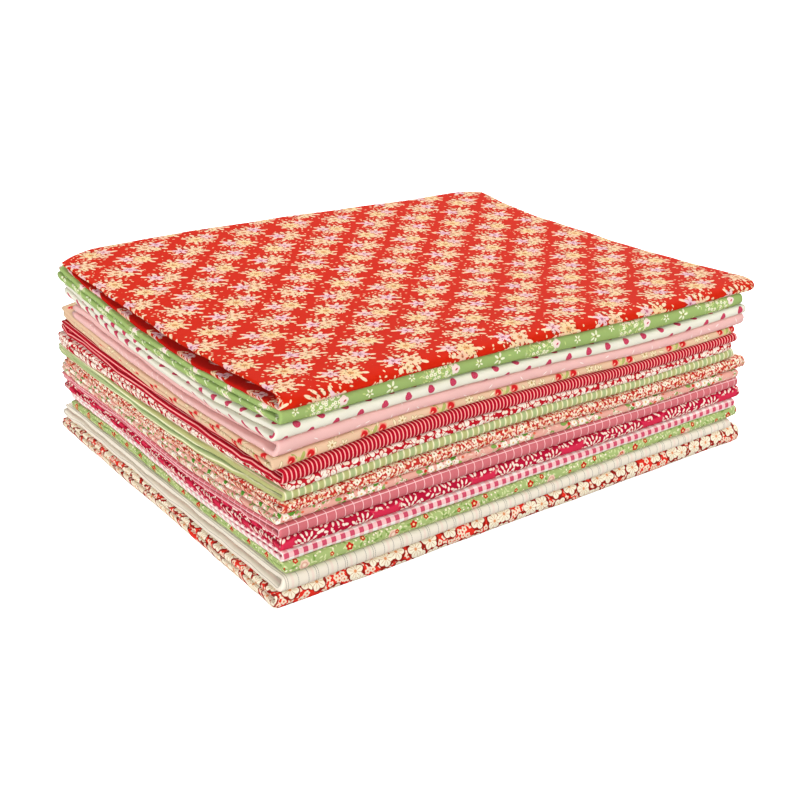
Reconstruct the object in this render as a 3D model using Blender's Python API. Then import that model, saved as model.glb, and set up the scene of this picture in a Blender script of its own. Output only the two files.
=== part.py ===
"""A bundle of sixteen half-yard cuts of printed quilting cotton, folded alike and piled up.

Each cut is one sheet. It is folded across at the left end, and that packet is then folded in
half at the front, so four leaves lie over each other, a little apart, with one broad fold along
the front, two folds at the left end and the free ends of the leaves at the right and the back.

X runs along the broad folds, Y goes back from them and Z is up. The origin is the middle of the
bundle's underside.
"""

from collections import namedtuple
from math import pi

import bpy
import numpy as np

# Millimetres. The pile is laid out in a box with its near left corner at 0, 0, 0.
LENGTH = 284.0
DEPTH = 230.0
CLOTH_GAP = 0.3
LEAF_GAP = 0.28
BROAD_FOLD_REACH = 1.15
END_FOLD_ANGLES = (45.0, 90.0, 135.0)
BROAD_FOLD_ANGLES = (30.0, 60.0, 90.0, 120.0, 150.0)
BACK_STEP = 3.0
END_STEP = 2.5
METRES = 0.001

# Where the seams between the cloths are given: along the front, and back along the left end.
FRONT_STATIONS = (0.0, 71.0, 141.0, 211.0, 284.0)
LEFT_STATIONS = (0.0, 76.0, 151.0, 230.0)

# A row for each cloth, from the bottom of the pile up.
# front_tops: height of its upper seam at the front stations.
# left_tops: the same seam at the left stations after the first, which is the shared corner.
# left, front, right, back: how far its edge lies in from the box, each at its two ends:
#   left and right from near to far, front and back from left to right.
# lower_in: how far the lower of its two left folds sits behind the upper one, near and far.
Cloth = namedtuple("Cloth", "name colour front_tops left_tops left front right back lower_in")
CLOTHS = (
    Cloth("red_bloom_cloth", (222, 60, 45), (7.2, 8.2, 9.0, 9.6, 10.4), (6.0, 6.2, 4.4),
          (1.0, 2.0), (0.0, 0.6), (3.4, 4.0), (9.0, 3.0), (1.0, 1.0)),
    Cloth("cream_pinstripe_cloth", (238, 229, 216), (15.0, 14.7, 15.0, 15.4, 15.4), (13.0, 12.7, 11.6),
          (0.9, 0.6), (0.6, 0.2), (10.3, 7.0), (4.0, 2.0), (-1.1, -0.6)),
    Cloth("green_bloom_cloth", (152, 181, 95), (20.9, 20.7, 20.8, 20.9, 21.2), (17.5, 18.4, 16.4),
          (0.9, 1.7), (0.8, 1.4), (5.0, 7.0), (12.0, 5.0), (1.3, 0.3)),
    Cloth("pink_gingham_cloth", (232, 140, 165), (25.8, 26.2, 26.0, 25.6, 26.0), (21.6, 22.9, 21.1),
          (1.6, 2.4), (1.4, 1.0), (8.2, 6.0), (10.0, 6.0), (-0.7, 0.3)),
    Cloth("raspberry_spray_cloth", (205, 48, 78), (32.0, 32.6, 32.8, 32.4, 32.8), (27.0, 26.2, 25.7),
          (1.4, 1.6), (2.2, 1.6), (4.9, 8.0), (6.0, 4.0), (-0.2, -0.7)),
    Cloth("rose_line_cloth", (205, 102, 126), (37.4, 38.9, 39.3, 37.9, 37.8), (30.7, 31.1, 30.1),
          (0.6, 1.0), (1.6, 2.2), (6.6, 5.0), (2.5, 5.0), (-0.2, 0.9)),
    Cloth("pink_leaf_cloth", (244, 188, 178), (41.9, 42.9, 43.5, 41.9, 42.0), (36.7, 34.8, 35.4),
          (2.0, 1.3), (3.0, 2.6), (7.4, 9.0), (2.0, 3.0), (-1.2, -0.6)),
    Cloth("red_ditsy_cloth", (214, 84, 70), (47.4, 49.5, 49.9, 48.5, 48.9), (40.0, 39.4, 40.3),
          (3.3, 2.2), (2.2, 2.4), (2.6, 5.0), (8.0, 4.0), (-0.6, -0.9)),
    Cloth("green_stripe_cloth", (166, 182, 122), (51.4, 54.7, 55.1, 53.0, 54.1), (46.9, 44.7, 45.3),
          (4.2, 0.9), (3.0, 3.2), (10.0, 8.0), (0.0, 6.0), (-0.5, 0.4)),
    Cloth("red_petal_cloth", (202, 32, 52), (55.4, 59.3, 59.3, 57.2, 58.2), (50.3, 51.1, 51.8),
          (5.8, 0.8), (3.8, 3.6), (13.4, 9.0), (0.0, 3.0), (0.6, -0.2)),
    Cloth("red_stripe_cloth", (196, 28, 50), (61.8, 66.3, 65.4, 62.6, 63.2), (58.1, 56.1, 57.4),
          (4.3, 3.3), (2.8, 3.0), (10.9, 12.0), (1.0, 4.0), (-1.6, -0.2)),
    Cloth("tan_flower_cloth", (230, 192, 148), (67.4, 70.6, 69.4, 66.6, 67.2), (63.0, 61.9, 65.1),
          (0.2, 4.5), (4.6, 4.8), (12.0, 10.0), (0.0, 5.0), (-0.2, 1.2)),
    Cloth("pink_dash_cloth", (240, 176, 186), (74.4, 76.2, 74.8, 71.6, 72.8), (69.0, 69.4, 73.2),
          (3.5, 5.0), (4.0, 4.4), (7.1, 9.0), (18.0, 9.0), (-2.3, -0.6)),
    Cloth("white_drop_cloth", (241, 240, 232), (81.0, 81.6, 80.0, 76.9, 77.6), (74.2, 75.6, 80.3),
          (2.7, 5.8), (4.8, 4.0), (3.8, 6.0), (6.0, 4.0), (-2.0, -0.2)),
    Cloth("green_sprig_cloth", (141, 185, 111), (88.0, 89.0, 87.6, 84.8, 83.4), (81.4, 81.4, 88.0),
          (4.6, 4.5), (5.2, 5.6), (7.0, 5.0), (3.0, 3.0), (0.1, -0.5)),
    Cloth("red_posy_cloth", (230, 60, 46), (94.0, 94.6, 93.2, 90.4, 88.8), (90.2, 90.0, 92.0),
          (10.4, 6.8), (4.6, 5.0), (0.0, 4.0), (4.0, 7.0), (-6.8, -0.2)),
)


def fabric(name, colour):
    """Matt cotton. colour is an 8-bit screen colour, and the shader takes it as linear light."""
    material = bpy.data.materials.new(name)
    material.use_nodes = True
    shader = material.node_tree.nodes["Principled BSDF"]
    linear = [(channel / 255.0) ** 2.2 for channel in colour]
    shader.inputs["Base Color"].default_value = (*linear, 1.0)
    shader.inputs["Roughness"].default_value = 0.85
    shader.inputs["Metallic"].default_value = 0.0
    material.diffuse_color = (*linear, 1.0)
    return material


def seam_height(cloth, x, y):
    """Height of a cloth's upper seam: the front row, moved by how the left row leaves the corner."""
    left_tops = (cloth.front_tops[0],) + cloth.left_tops
    sag = np.interp(y, LEFT_STATIONS, left_tops) - cloth.front_tops[0]
    return np.interp(x, FRONT_STATIONS, cloth.front_tops) + sag


def along(ends, share):
    """A size that goes evenly from its first value to its second."""
    return ends[0] + (ends[1] - ends[0]) * share


def packet_section(thickness, half):
    """The leaf pair folded at the left end, as pairs of outer and inner points.

    Each point is (station or None, reach, level, side): where along X it lies, or else how far
    it is in front of the fold's centre as a share of the fold's radius; its level through the
    packet from 0 to 1; and which of the two leaves' free ends it belongs to.
    """
    packet = half * thickness
    leaf = 0.5 - 0.5 * LEAF_GAP / packet
    inner_radius = 1.0 - 2.0 * leaf
    runs = (LENGTH,) + FRONT_STATIONS[3:0:-1] + (None,)
    section = [((x, 0.0, 0.0, 0), (x, 0.0, leaf, 0)) for x in runs]
    for degrees in END_FOLD_ANGLES:
        sine, cosine = np.sin(degrees * pi / 180.0), np.cos(degrees * pi / 180.0)
        outer = (None, sine, 0.5 - 0.5 * cosine, 0)
        inner = (None, inner_radius * sine, 0.5 - 0.5 * inner_radius * cosine, 0)
        section.append((outer, inner))
    section += [((x, 0.0, 1.0, 1), (x, 0.0, 1.0 - leaf, 1)) for x in reversed(runs)]
    return section


def packet_path():
    """The packet's way from its lower back edge, round the broad fold, to its upper back edge.

    Each step is (station or None, angle, turned): a place along Y, or an angle of the fold.
    """
    runs = (DEPTH,) + LEFT_STATIONS[2:0:-1]
    path = [(y, 0.0, 0) for y in runs] + [(None, 0.0, 0)]
    path += [(None, degrees * pi / 180.0, int(degrees > 90.0)) for degrees in BROAD_FOLD_ANGLES]
    path += [(None, pi, 1)] + [(y, pi, 1) for y in reversed(runs)]
    return path


def place(point, step, cloth, below, thickness, half):
    """World place of one point of the section at one step of the path, in metres."""
    x_station, reach, level, far_leaf = point
    y_station, angle, turned = step
    wrap = 1.0 - 2.0 * level * half
    broad_radius = 0.5 * BROAD_FOLD_REACH * thickness
    end_radius = 0.5 * half * thickness

    front_share = 0.0 if x_station is None else x_station / LENGTH
    y_fold = along(cloth.front, front_share) + broad_radius
    if y_station is None:
        y = y_fold - broad_radius * wrap * np.sin(angle)
    elif y_station == DEPTH:
        y = DEPTH - along(cloth.back, front_share) - BACK_STEP * (1.0 - abs(turned - level))
    else:
        y = y_station

    depth_share = np.clip(y / DEPTH, 0.0, 1.0)
    if x_station is None:
        set_back = along(cloth.lower_in, depth_share) * 0.5 * (1.0 + np.cos(angle))
        x = along(cloth.left, depth_share) + set_back + end_radius * (1.0 - reach)
    elif x_station == LENGTH:
        x = LENGTH - along(cloth.right, depth_share) - END_STEP * (far_leaf != turned)
    else:
        x = x_station

    share = 0.5 - 0.5 * wrap * np.cos(angle)
    low = 0.0 if below is None else seam_height(below, x, y) + 0.5 * CLOTH_GAP
    high = seam_height(cloth, x, y) - 0.5 * CLOTH_GAP
    z = low + (high - low) * share
    return ((x - 0.5 * LENGTH) * METRES, (y - 0.5 * DEPTH) * METRES, z * METRES)


def folded_cloth(cloth, below, collection):
    """One cloth as a closed solid: the section's outer and inner lines carried along the path."""
    floor = 0.0 if below is None else below.front_tops[0]
    thickness = cloth.front_tops[0] - floor - CLOTH_GAP
    half = 0.5 - 0.5 * LEAF_GAP / thickness
    section = packet_section(thickness, half)
    outline = [pair[0] for pair in section] + [pair[1] for pair in reversed(section)]
    path = packet_path()
    points = [place(point, step, cloth, below, thickness, half) for step in path for point in outline]

    count, pairs = len(outline), len(section)
    faces = []
    for step in range(len(path) - 1):
        here, there = step * count, (step + 1) * count
        for i in range(count):
            after = (i + 1) % count
            faces.append((here + i, there + i, there + after, here + after))
    last = (len(path) - 1) * count
    for i in range(pairs - 1):
        mate = count - 1 - i
        faces.append((i, i + 1, mate - 1, mate))
        faces.append((last + i, last + mate, last + mate - 1, last + i + 1))

    mesh = bpy.data.meshes.new(cloth.name)
    mesh.from_pydata(points, [], faces)
    mesh.materials.append(fabric(cloth.name + "_cotton", cloth.colour))
    mesh.shade_smooth()
    mesh.set_sharp_from_angle(angle=pi / 4.0)
    collection.objects.link(bpy.data.objects.new(cloth.name, mesh))


for old in list(bpy.data.objects):
    bpy.data.objects.remove(old)

bundle = bpy.data.collections.new("fabric_bundle")
bpy.context.scene.collection.children.link(bundle)
for lower, upper in zip((None,) + CLOTHS[:-1], CLOTHS):
    folded_cloth(upper, lower, bundle)
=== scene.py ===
"""The looks of a bundle of sixteen folded half-yard cuts of printed quilting cotton.

Each cut is one thin sheet, folded to eight plies on the folds of its solid: twice across its
width, so that a packet of four plies has one fold inside another at the left end, and then in
half at the front. The prints lie on the flat cloth, so they run round the folds with it.
"""

from collections import namedtuple
from math import pi, radians

import bpy
import numpy as np
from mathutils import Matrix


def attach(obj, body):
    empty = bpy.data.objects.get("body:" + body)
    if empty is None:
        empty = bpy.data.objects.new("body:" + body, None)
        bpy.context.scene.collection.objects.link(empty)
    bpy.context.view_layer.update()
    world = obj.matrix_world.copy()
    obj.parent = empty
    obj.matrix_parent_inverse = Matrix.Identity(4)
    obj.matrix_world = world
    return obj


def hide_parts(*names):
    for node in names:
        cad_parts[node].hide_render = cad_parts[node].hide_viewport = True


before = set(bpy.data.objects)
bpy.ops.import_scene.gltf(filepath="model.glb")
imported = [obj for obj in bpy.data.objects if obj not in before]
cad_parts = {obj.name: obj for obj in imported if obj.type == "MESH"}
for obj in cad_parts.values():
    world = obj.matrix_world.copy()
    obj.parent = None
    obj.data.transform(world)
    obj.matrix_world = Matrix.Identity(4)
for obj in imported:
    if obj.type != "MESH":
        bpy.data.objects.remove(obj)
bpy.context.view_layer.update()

# Camera, at the near left corner of the pile and a little above it. The place and the turn are
# in the frame's metres and in radians, and the lens takes in about 32 degrees.
camera = bpy.data.objects.new("camera", bpy.data.cameras.new("camera"))
camera.location = (-0.392511, -0.543064, 0.314872)
camera.rotation_euler = (1.152703, -0.008687, -0.626090)
camera.data.sensor_width = 36.0
camera.data.lens = 62.03
bpy.context.scene.collection.objects.link(camera)
bpy.context.scene.camera = camera

# Red bloom cloth, the lowest cut. A half yard of quilting cotton, 1118 x 457 mm, folded to eight
# plies: red, printed all over with cream blossoms, large and small. The lengths in this file
# are in millimetres, in a box with its near left corner at 0, 0, 0, until they become a mesh.
PLY = 0.28
LENGTH = 284.0
DEPTH = 230.0
METRES = 0.001
FRONT_STATIONS = (0.0, 71.0, 141.0, 211.0, 284.0)
LEFT_STATIONS = (0.0, 76.0, 151.0, 230.0)
BROAD_FOLD_REACH = 1.15
END_FOLD_REACH = 1.2
HALF_PACKET = 0.485
EYE_LENGTH = 6.0
SETTLE_LENGTH = 60.0
CREEP = 3.0
CORNER_LENGTH = 17.0
EDGE_WANDER = 0.55
FRONT_WANDER = 0.45
SEAM_WANDER = 0.24
MIDDLE_WANDER = 0.08
PUCKER = 0.3
FLATNESS = 0.62
END_FLATNESS = 0.5
SELVAGE_TUCKS = (2.0, 3.4)
PINCH_LENGTH = 14.0
FRONT_CORNER_SHARE = 0.15
RIGHT_CORNER_SHARE = 0.6
WAIST_POWER = 2.3
PLY_STEP = 0.25
HIDDEN_COLUMNS = 20
WIDE_FOLD_COLUMNS = 9
TIGHT_FOLD_COLUMNS = 5
FRONT_COLUMNS = 48
FRONT_ROWS = 15
RUN_ROWS = 27
PRINT_BLUR = 0.11
CHANCE_BLUR = 0.01
MIDDLE = (0.0, 0.0)
YARN = 0.36
# Share of painted shade from the weave: lighter over the yarns, darker between them.
WEAVE_PAINTED_SHADE = 0.05
DYE_TONE = 0.10
DYE_LENGTH = 14.0

# A cut's number counts from the bottom of the pile and starts its unevenness. front_tops and
# left_tops are its upper seam's heights at the stations; left, front, right and back are how far
# its edges lie in from the box at each end; lower_in is how far its lower left fold sits behind
# the upper one, near and far; eye is the packet's half thickness inside the broad fold; corner is
# how far the back corners are drawn in, and the front ones by a small share of it; roll is how
# many times farther back the broad fold's upper side rolls off than its lower side; split is the
# lower packet's share of the thickness; pinch is how far the upper left fold is pressed flat; waist
# is how far the right end bows in, most of all about three quarters of the way back.
Cut = namedtuple(
    "Cut",
    "number front_tops left_tops left front right back lower_in eye corner roll split pinch waist",
    defaults=(0.40, 2.0, 1.0, 0.5, 0.0, 0.0))


def wander(at, seed):
    """A slow unevenness from -1 to 1 along a length: three sine waves, each started by seed.

    A part added to the seed starts the waves elsewhere, so that no two edges of a cut run alike.
    """
    waves = ((131.0, 0.45, 0.31), (57.0, 0.35, 0.67), (29.0, 0.20, 0.13))
    return sum(size * np.sin(2.0 * pi * (at / length + seed * start)) for length, size, start in waves)


def puckers(at, seed):
    """The small puckers along a fold, from -1 to 1: two short waves whose sizes swell and fade."""
    swell = 0.6 + 0.4 * np.sin(2.0 * pi * (at / 83.0 + seed * 0.57))
    short = np.sin(2.0 * pi * (at / 15.0 + seed * 0.29))
    short = short + 0.6 * np.sin(2.0 * pi * (at / 8.3 + seed * 0.83))
    return swell * short / 1.6


def eased(at, stations, heights):
    """A smooth line through heights at stations: a cubic in each bay, with the mean slopes there."""
    stations, heights = np.asarray(stations), np.asarray(heights)
    slopes = np.gradient(heights, stations)
    bay = np.clip(np.searchsorted(stations, at) - 1, 0, len(stations) - 2)
    span = stations[bay + 1] - stations[bay]
    part = np.clip((at - stations[bay]) / span, 0.0, 1.0)
    rest = 1.0 - part
    start = heights[bay] * (1.0 + 2.0 * part) * rest ** 2 + slopes[bay] * span * part * rest ** 2
    end = heights[bay + 1] * (3.0 - 2.0 * part) * part ** 2 - slopes[bay + 1] * span * rest * part ** 2
    return start + end


def seam_height(cut, x, y):
    """Height of a cut's upper seam: the front line, moved by the left line, with a slight ripple."""
    if cut is None:
        return np.zeros(np.broadcast(x, y).shape)
    corner = cut.front_tops[0]
    smooth = eased(x, FRONT_STATIONS, cut.front_tops)
    smooth = smooth + eased(y, LEFT_STATIONS, (corner,) + cut.left_tops) - corner
    return smooth + SEAM_WANDER * (wander(x, cut.number) + wander(y, cut.number + 0.4))


def steps(count, crowd=0.6):
    """Shares from 0 to 1 that lie closer together at both ends."""
    even = np.linspace(0.0, 1.0, count)
    return even - crowd * np.sin(2.0 * pi * even) / (2.0 * pi)


def across_the_width(front_columns):
    """The packet's section, a row of four values for each column of the cloth.

    They are the column's share of the way from the left folds' centre to the right end, its level
    from 0 at the packet's outer ply to 1 at its inner one, how far it stands out of the share's
    place in packet thicknesses, and how far it is tucked in at the right end. The cloth goes from
    one selvage round the left fold to the outer ply, round the right fold, round the inner left
    fold and back to the other selvage, with its plies a quarter of the packet apart.
    """
    hidden = steps(HIDDEN_COLUMNS)
    front = steps(front_columns)
    wide = np.linspace(0.0, pi, WIDE_FOLD_COLUMNS + 2)[1:-1]
    tight = np.linspace(0.0, pi, TIGHT_FOLD_COLUMNS + 2)[1:-1]
    flat_wide = np.sin(wide) ** END_FLATNESS
    stretches = (
        (1.0 - hidden, 3.5 * PLY_STEP, 0.0, SELVAGE_TUCKS[1]),
        (0.0, 0.5 + 1.5 * PLY_STEP * np.cos(wide), -1.5 * PLY_STEP * flat_wide, 0.0),
        (front, 0.5 * PLY_STEP, 0.0, 0.0),
        (1.0, PLY_STEP - 0.5 * PLY_STEP * np.cos(tight), 0.5 * PLY_STEP * np.sin(tight), 0.0),
        (1.0 - hidden, 1.5 * PLY_STEP, 0.0, 0.0),
        (0.0, 0.5 - 0.5 * PLY_STEP * np.cos(tight), -0.5 * PLY_STEP * np.sin(tight), 0.0),
        (hidden, 2.5 * PLY_STEP, 0.0, SELVAGE_TUCKS[0]),
    )
    return np.hstack([np.vstack(np.broadcast_arrays(*stretch)) for stretch in stretches])


def along_the_length(front_rows, run_rows):
    """The packet's way from its lower back edge round the broad fold to its upper back edge.

    Each row has its share of the way back from the broad fold's centre line, and its angle round
    that fold, from 0 below to pi above.
    """
    run = steps(run_rows)
    turn = np.linspace(0.0, pi, front_rows)
    stretches = ((1.0 - run[:-1], 0.0), (0.0, turn), (run[1:], pi))
    return np.hstack([np.vstack(np.broadcast_arrays(*stretch)) for stretch in stretches])


def between(ends, share):
    """A size that goes evenly from its first value to its second."""
    return ends[0] + (ends[1] - ends[0]) * share


def drawn_in(cut, distance):
    """How far an edge is drawn in near a corner: by the square of the distance inside its length."""
    return cut.corner * np.clip(1.0 - distance / CORNER_LENGTH, 0.0, 1.0) ** 2


def folded_points(cut, below, columns, rows):
    """The cloth's middle surface, as x, y and z for each row and column.

    A ply at a level of the packet lies at a share of the way up from the seam below to the seam
    above: half a packet's level under the middle, half of it over the middle, and round the broad
    fold on a flattened circle that is the smaller the deeper the ply lies. Near that fold the
    packet is squeezed, which leaves the small open eye in its middle. A pinched upper fold is
    thinner at the left end, with its plies up against the top.
    """
    share, level, out, tuck = columns
    back, angle = rows[:, :, None]
    upper = angle > 0.5 * pi
    seed = cut.number

    x_plain = LENGTH * share
    thick = seam_height(cut, x_plain, 0.0 * x_plain) - seam_height(below, x_plain, 0.0 * x_plain)
    radius = 0.5 * BROAD_FOLD_REACH * thick * (1.0 + (cut.roll - 1.0) * (0.5 - 0.5 * np.cos(angle)))
    y_fold = between(cut.front, share) + radius + FRONT_WANDER * wander(x_plain, seed + 0.2)
    front_corners = drawn_in(cut, 3.0 * x_plain) + drawn_in(cut, 3.0 * (LENGTH - x_plain))
    y_fold = y_fold + FRONT_CORNER_SHARE * front_corners
    y_back = DEPTH - between(cut.back, share) - CREEP * (1.0 - level)
    y_back = y_back - EDGE_WANDER * wander(x_plain, seed + 0.7)
    y_back = y_back - drawn_in(cut, x_plain) - RIGHT_CORNER_SHARE * drawn_in(cut, LENGTH - x_plain)
    run = (y_back - y_fold) * back

    half = HALF_PACKET - (HALF_PACKET - cut.eye) * np.exp(-(run / EYE_LENGTH) ** 2)
    wrap = 1.0 - 2.0 * level * half
    y = y_fold + run - radius * wrap * np.abs(np.sin(angle)) ** FLATNESS

    depth_share = y / DEPTH
    end_thick = seam_height(cut, 0.0 * y, y) - seam_height(below, 0.0 * y, y)
    pinch = cut.pinch * 0.5 * (1.0 - np.cos(angle))
    packet = half * end_thick * (1.0 - pinch)
    settled = np.clip(run / SETTLE_LENGTH, 0.0, 1.0)
    fold_seed = seed + np.where(upper, 0.5, 0.9)
    lower_in = between(cut.lower_in, depth_share)
    x_left = between(cut.left, depth_share) + lower_in * 0.5 * (1.0 + np.cos(angle))
    x_left = x_left + EDGE_WANDER * settled * wander(y, fold_seed) + drawn_in(cut, DEPTH - y)
    x_left = x_left + PUCKER * (1.0 + puckers(y, fold_seed))
    x_left = x_left + 0.5 * packet * END_FOLD_REACH
    x_right = LENGTH - between(cut.right, depth_share) - tuck
    x_right = x_right - cut.waist * np.sin(pi * np.clip(depth_share, 0.0, 1.0) ** WAIST_POWER) ** 2
    x_right = x_right + EDGE_WANDER * wander(y, fold_seed + 0.3)
    x_right = x_right - RIGHT_CORNER_SHARE * drawn_in(cut, DEPTH - y)
    x = x_left + (x_right - x_left) * share + out * packet * END_FOLD_REACH

    lift = np.interp(0.5 - 0.5 * wrap * np.cos(angle), (0.0, 0.5, 1.0), (0.0, cut.split, 1.0))
    lift = lift + MIDDLE_WANDER * np.sin(pi * lift) * wander(y, seed + 0.15) * settled
    lift = lift + (1.0 - lift) * pinch * np.exp(-((x - x_left) / PINCH_LENGTH) ** 2)
    low = seam_height(below, x, y)
    z = low + (seam_height(cut, x, y) - low) * lift
    return np.stack((x, y, z), axis=-1)


def on_the_flat(points, front_columns, front_rows):
    """Where each point lies on the flat cloth, from the lengths measured along rows and columns.

    The width counts from the middle of the left fold, and stays true to X on the outer ply. The
    length counts from the middle of the broad fold, and stays true to Y on the upper side.
    """
    rows, columns = points.shape[:2]
    fold_column = HIDDEN_COLUMNS + WIDE_FOLD_COLUMNS // 2
    column = HIDDEN_COLUMNS + WIDE_FOLD_COLUMNS + front_columns // 2
    fold_row = rows // 2
    row = fold_row + front_rows // 2 + (rows - front_rows) // 4
    across = np.zeros((rows, columns))
    across[:, 1:] = np.cumsum(np.linalg.norm(np.diff(points, axis=1), axis=2), axis=1)
    across += (points[:, column, 0] - across[:, column])[:, None]
    across -= across[row, fold_column]
    length = np.zeros((rows, columns))
    length[1:] = np.cumsum(np.linalg.norm(np.diff(points, axis=0), axis=2), axis=0)
    length += points[row, :, 1] - length[row]
    length -= length[fold_row, column]
    return np.stack((across, length), axis=-1)


def folded_sheet(name, cut, below, material, front_columns=FRONT_COLUMNS, front_rows=FRONT_ROWS,
                 run_rows=RUN_ROWS):
    """One folded cut as a thin sheet, with the place on the flat cloth in the map flat_cloth."""
    points = folded_points(cut, below, across_the_width(front_columns),
                           along_the_length(front_rows, run_rows))
    flat = on_the_flat(points, front_columns, front_rows)
    rows, columns = points.shape[:2]
    number = np.arange(rows * columns).reshape(rows, columns)
    faces = np.stack((number[:-1, :-1], number[:-1, 1:], number[1:, 1:], number[1:, :-1]), axis=-1)
    faces = faces.reshape(-1, 4)
    placed = (points - (0.5 * LENGTH, 0.5 * DEPTH, 0.0)) * METRES
    mesh = bpy.data.meshes.new(name)
    mesh.from_pydata(placed.reshape(-1, 3).tolist(), [], faces.tolist())
    flat_map = mesh.uv_layers.new(name="flat_cloth")
    flat_map.data.foreach_set("uv", (flat * METRES).reshape(-1, 2)[faces.ravel()].ravel())
    mesh.materials.append(material)
    mesh.shade_smooth()
    piece = bpy.data.objects.new(name, mesh)
    bpy.context.scene.collection.objects.link(piece)
    body = piece.modifiers.new("ply", "SOLIDIFY")
    body.thickness = PLY * METRES
    body.offset = 0.0
    return piece


def settle(piece, node):
    """Puts a folded sheet in its solid's place, on the part's only body."""
    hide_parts(node)
    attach(piece, "root")


class Ink:
    """Something that changes over the cloth, a number, a place or a colour: a shader node's output."""

    def __init__(self, socket):
        self.socket = socket

    def __add__(self, other):
        return reckon("ADD", self, other)

    def __sub__(self, other):
        return reckon("SUBTRACT", self, other)

    def __rsub__(self, other):
        return reckon("SUBTRACT", other, self)

    def __mul__(self, other):
        return reckon("MULTIPLY", self, other)

    def __truediv__(self, other):
        return reckon("DIVIDE", self, other)


def node(like, kind, **settings):
    """A new node in the tree of the ink called like."""
    made = like.socket.id_data.nodes.new(kind)
    for setting, value in settings.items():
        setattr(made, setting, value)
    return made


def feed(socket, value):
    """Gives a socket its value: a link from an ink, or the plain number, place or colour."""
    if isinstance(value, Ink):
        socket.id_data.links.new(value.socket, socket)
    else:
        socket.default_value = value


def reckon(operation, *values):
    """Arithmetic on inks and numbers, by a Math node."""
    made = node(next(value for value in values if isinstance(value, Ink)), "ShaderNodeMath",
                operation=operation)
    for socket, value in zip(made.inputs, values):
        feed(socket, value)
    return Ink(made.outputs[0])


def most(*masks):
    """The strongest of several masks."""
    strongest = masks[0]
    for mask in masks[1:]:
        strongest = reckon("MAXIMUM", strongest, mask)
    return strongest


def coordinates(place):
    """A place's two numbers, across and along the cloth."""
    made = node(place, "ShaderNodeSeparateXYZ")
    feed(made.inputs[0], place)
    return Ink(made.outputs[0]), Ink(made.outputs[1])


def joined(across, along):
    """A place from its two numbers."""
    made = node(across, "ShaderNodeCombineXYZ")
    feed(made.inputs[0], across)
    feed(made.inputs[1], along)
    return Ink(made.outputs[0])


def seen_from(place, centre, turn=0.0, size=(1.0, 1.0)):
    """The place as seen from a centre, turned by so many degrees and measured in units of size."""
    made = node(place, "ShaderNodeMapping", vector_type="TEXTURE")
    feed(made.inputs["Vector"], place)
    made.inputs["Location"].default_value = (*centre, 0.0)
    made.inputs["Rotation"].default_value = (0.0, 0.0, radians(turn))
    made.inputs["Scale"].default_value = (*size, 1.0)
    return Ink(made.outputs[0])


def distance(place):
    """How far a place is from the centre it is seen from."""
    made = node(place, "ShaderNodeVectorMath", operation="LENGTH")
    feed(made.inputs[0], place)
    return Ink(made.outputs["Value"])


def inside(far, edge, blur=PRINT_BLUR):
    """1 where far is under edge and 0 past it, with the slightly soft edge of a print."""
    made = node(far, "ShaderNodeMapRange", interpolation_type="SMOOTHSTEP")
    feed(made.inputs["Value"], far)
    feed(made.inputs["From Min"], edge + 0.5 * blur)
    feed(made.inputs["From Max"], edge - 0.5 * blur)
    return Ink(made.outputs["Result"])


def some(chance, share):
    """1 for this share of the things strewn, picked by each one's own chance."""
    return inside(chance, share, CHANCE_BLUR)


def even(count):
    """1 where a diamond's count is even, and 0 where it is odd."""
    return inside(reckon("PINGPONG", count, 1.0), 0.5, 0.1)


def linear(colour):
    """An 8-bit screen colour as the linear light that shaders take."""
    return tuple((channel / 255.0) ** 2.2 for channel in colour) + (1.0,)


def dyed(ground, mask, colour):
    """The ground, with a colour over it where the mask is 1."""
    made = node(mask, "ShaderNodeMix", data_type="RGBA")
    feed(made.inputs["Factor"], mask)
    feed(made.inputs["A"], ground if isinstance(ground, Ink) else linear(ground))
    feed(made.inputs["B"], colour if isinstance(colour, Ink) else linear(colour))
    return Ink(made.outputs["Result"])


def oval(place, centre, size, turn=0.0, blur=None):
    """Mask of an oval, such as a petal or a leaf. size is its half length and half width.

    blur is how soft the edge is, as a share of the size; without it the edge is a print's.
    """
    far = distance(seen_from(place, centre, turn, size))
    return inside(far, 1.0, blur or PRINT_BLUR / min(size))


def bloom(place, centre, radius, petals, turn=0.0, notch=0.4):
    """Mask of a flower whose rim swells once for each petal, and how far out in it a place is."""
    seen = seen_from(place, centre, turn, (radius, radius))
    far = distance(seen)
    x, y = coordinates(seen)
    lobes = reckon("ABSOLUTE", reckon("COSINE", reckon("ARCTAN2", y, x) * (0.5 * petals)))
    return inside(far - lobes * notch, 1.0 - notch, PRINT_BLUR / radius), far


def ring(place, centre, reach, count, size, turn=0.0):
    """Mask of ovals in a ring, each with its middle at reach, and how far from the centre it is.

    The place is turned back by whole sectors until it lies in the first oval's sector.
    """
    seen = seen_from(place, centre, turn)
    x, y = coordinates(seen)
    sector = 2.0 * pi / count
    turned = node(place, "ShaderNodeVectorRotate", rotation_type="Z_AXIS")
    feed(turned.inputs["Vector"], seen)
    feed(turned.inputs["Angle"], reckon("ROUND", reckon("ARCTAN2", y, x) / sector) * -sector)
    return oval(Ink(turned.outputs[0]), (reach, 0.0), size), distance(seen)


def half_drop(place, width, height):
    """A half-drop repeat: the place seen from the middle of its own diamond, and that one's counts.

    The diamonds stand width and height apart, and between each four of them stands another one.
    """
    x, y = coordinates(place)
    rising, falling = x / width + y / height, x / width - y / height
    up, down = reckon("ROUND", rising), reckon("ROUND", falling)
    rising, falling = rising - up, falling - down
    return joined((rising + falling) * (0.5 * width), (rising - falling) * (0.5 * height)), up, down


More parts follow.
